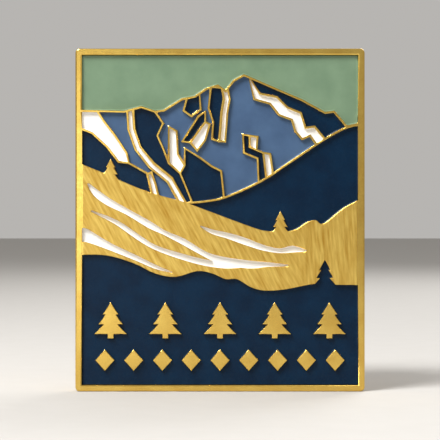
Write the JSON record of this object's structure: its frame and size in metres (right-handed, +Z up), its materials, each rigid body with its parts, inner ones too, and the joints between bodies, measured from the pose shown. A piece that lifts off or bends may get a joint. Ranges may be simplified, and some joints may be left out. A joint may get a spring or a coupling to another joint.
{
  "type": "enamel badge",
  "caption": "Rectangular soft enamel badge with a mountain picture in raised gold-plated lines, soldered needle posts and butterfly clutches.",
  "frame": {"origin": "centre of the flat back face of the badge's plate, the face that lies against the cloth", "axes": "+Z up along the badge's height, +Y out of its back along the posts, so that the picture faces -Y, +X to the right of someone who looks at the picture"},
  "size_m": [0.0254, 0.0134, 0.03],
  "materials": {
    "plated_badge": "struck brass with a bright yellow gold plating, polished on the raised lines",
    "sage_enamel": "soft enamel, sage green, glossy and slightly sunken",
    "slate_enamel": "soft enamel, slate blue, glossy and slightly sunken",
    "navy_enamel": "soft enamel, navy blue, glossy and slightly sunken",
    "white_enamel": "soft enamel, white, glossy and slightly sunken",
    "plated_post": "drawn brass wire, gold plated with the badge",
    "solder": "silver-grey soft solder, flowed around the foot",
    "plated_clutch": "stamped brass sheet with bright gold-coloured plating",
    "spring_wire": "hard-drawn spring steel wire"
  },
  "bodies": {
    "badge": {"badge_base": "plated_badge", "sky_enamel": "sage_enamel", "slate_rock_enamel": "slate_enamel", "shadow_enamel": "navy_enamel", "snow_enamel": "white_enamel", "left_slope_enamel": "navy_enamel", "valley_enamel": "navy_enamel", "meadow_snow_enamel": "white_enamel", "foreground_enamel": "navy_enamel", "left_post": "plated_post", "right_post": "plated_post", "left_solder": "solder", "right_solder": "solder"},
    "left_clutch": {"left_clutch_base": "plated_clutch", "left_clutch_cap": "plated_clutch", "left_grip_spring": "spring_wire"},
    "left_wing_up": {"left_upper_wing": "plated_clutch"},
    "left_wing_down": {"left_lower_wing": "plated_clutch"},
    "right_clutch": {"right_clutch_base": "plated_clutch", "right_clutch_cap": "plated_clutch", "right_grip_spring": "spring_wire"},
    "right_wing_up": {"right_upper_wing": "plated_clutch"},
    "right_wing_down": {"right_lower_wing": "plated_clutch"}
  },
  "joints": [
    {"name": "left_clutch_slide", "type": "slide", "parent": "badge", "child": "left_clutch", "axis": [0, 1, 0], "range_m": [-0.005, 0.008], "deforming": ["left_grip_spring"]},
    {"name": "left_upper_wing_squeeze", "type": "hinge", "parent": "left_clutch", "child": "left_wing_up", "pos_m": [-0.0064, 0.00808, 0.0042], "axis": [-1, 0, 0], "range_deg": [0, 10], "stiffness_Nm_per_rad": 0.001},
    {"name": "left_lower_wing_squeeze", "type": "hinge", "parent": "left_clutch", "child": "left_wing_down", "pos_m": [-0.0064, 0.00808, -0.0002], "axis": [1, 0, 0], "range_deg": [0, 10], "stiffness_Nm_per_rad": 0.001},
    {"name": "right_clutch_slide", "type": "slide", "parent": "badge", "child": "right_clutch", "axis": [0, 1, 0], "range_m": [-0.005, 0.008], "deforming": ["right_grip_spring"]},
    {"name": "right_upper_wing_squeeze", "type": "hinge", "parent": "right_clutch", "child": "right_wing_up", "pos_m": [0.0064, 0.00808, 0.0042], "axis": [-1, 0, 0], "range_deg": [0, 10], "stiffness_Nm_per_rad": 0.001},
    {"name": "right_lower_wing_squeeze", "type": "hinge", "parent": "right_clutch", "child": "right_wing_down", "pos_m": [0.0064, 0.00808, -0.0002], "axis": [1, 0, 0], "range_deg": [0, 10], "stiffness_Nm_per_rad": 0.001}
  ],
  "couplings": [
    {"joint": "left_lower_wing_squeeze", "follows": "left_upper_wing_squeeze", "ratio": 1},
    {"joint": "right_lower_wing_squeeze", "follows": "right_upper_wing_squeeze", "ratio": 1}
  ]
}
